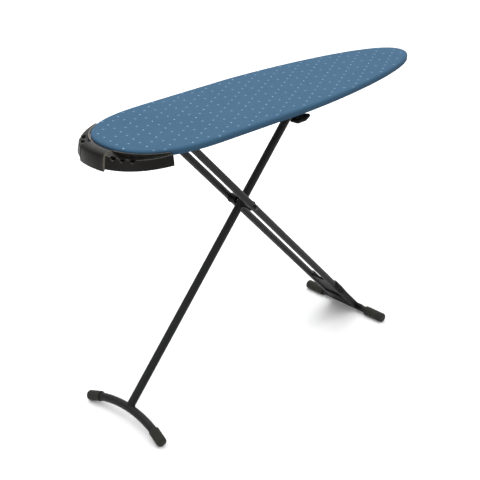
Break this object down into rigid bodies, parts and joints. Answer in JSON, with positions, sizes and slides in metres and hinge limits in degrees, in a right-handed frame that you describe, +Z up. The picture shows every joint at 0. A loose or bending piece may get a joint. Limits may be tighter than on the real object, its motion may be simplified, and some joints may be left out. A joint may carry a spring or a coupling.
{
  "type": "ironing board",
  "caption": "Compact free-standing ironing board with a padded top, a hanger rest round its tail and folding scissor legs.",
  "frame": {"origin": "on the floor, under the middle of the object's bounding box, with the board set up", "axes": "+X along the board towards its narrow nose, +Y across it, +Z up"},
  "size_m": [1.275, 0.346, 0.88],
  "materials": {
    "panel_paint": "satin grey-black powder coat",
    "tube_paint": "satin charcoal powder coat",
    "foam": "open-cell foam",
    "cover_cloth": "woven cotton, blue with light dashes and dots",
    "elastic": "braided elastic cord",
    "rest_plastic": "semi-gloss moulded black",
    "yoke_plastic": "satin moulded black",
    "black_plastic": "matt moulded black",
    "cap_rubber": "dull olive-black rubber",
    "plain_steel": "zinc-plated",
    "black_steel": "black oxide",
    "white_nylon": "natural nylon"
  },
  "bodies": {
    "board": {"top_panel": "panel_paint", "foam_pad": "foam", "cover": "cover_cloth", "hem_elastic": "elastic", "hanger_rest": "rest_plastic", "hanger_rest_screws": "plain_steel", "tail_brace": "panel_paint", "middle_brace": "panel_paint", "nose_brace": "panel_paint", "slide_channel": "panel_paint", "hinge_bracket_left": "panel_paint", "hinge_bracket_right": "panel_paint", "hinge_pin": "plain_steel", "hinge_pin_clips": "black_plastic", "lever_clips": "black_plastic", "lever_spring": "plain_steel"},
    "rear_legs": {"rear_tube_left": "tube_paint", "rear_tube_right": "tube_paint", "rear_tube_plugs": "black_plastic", "rear_yoke": "yoke_plastic", "rear_foot_bar": "tube_paint", "rear_foot_cap_left": "cap_rubber", "rear_foot_cap_right": "cap_rubber", "pivot_bolt": "black_steel", "pivot_washers": "black_steel", "pivot_nut": "black_steel", "pivot_spacer_left": "black_plastic", "pivot_spacer_right": "black_plastic"},
    "front_leg": {"front_tube": "tube_paint", "front_foot_bar": "tube_paint", "front_foot_cap_left": "cap_rubber", "front_foot_cap_right": "cap_rubber", "pivot_bush": "white_nylon", "crossbar": "plain_steel", "crossbar_glides": "white_nylon", "front_tube_plug": "black_plastic"},
    "release_lever": {"lever_shaft": "plain_steel", "lever_arm": "panel_paint", "lever_comb": "panel_paint", "lever_handle": "rest_plastic"}
  },
  "joints": [
    {"name": "rear_leg_fold", "type": "hinge", "parent": "board", "child": "rear_legs", "pos_m": [-0.35244, 0, 0.83199], "axis": [0, -1, 0], "range_deg": [0, 44.5]},
    {"name": "front_leg_scissor", "type": "hinge", "parent": "rear_legs", "child": "front_leg", "pos_m": [-0.097, 0, 0.5595], "axis": [0, -1, 0], "range_deg": [-89.2, 0]},
    {"name": "lever_squeeze", "type": "hinge", "parent": "board", "child": "release_lever", "pos_m": [0, -0.068, 0.849], "axis": [-1, 0, 0], "range_deg": [0, 7], "stiffness_Nm_per_rad": 1.5, "springref_deg": -17.19}
  ],
  "couplings": [
    {"joint": "front_leg_scissor", "follows": "rear_leg_fold", "ratio": -2}
  ]
}
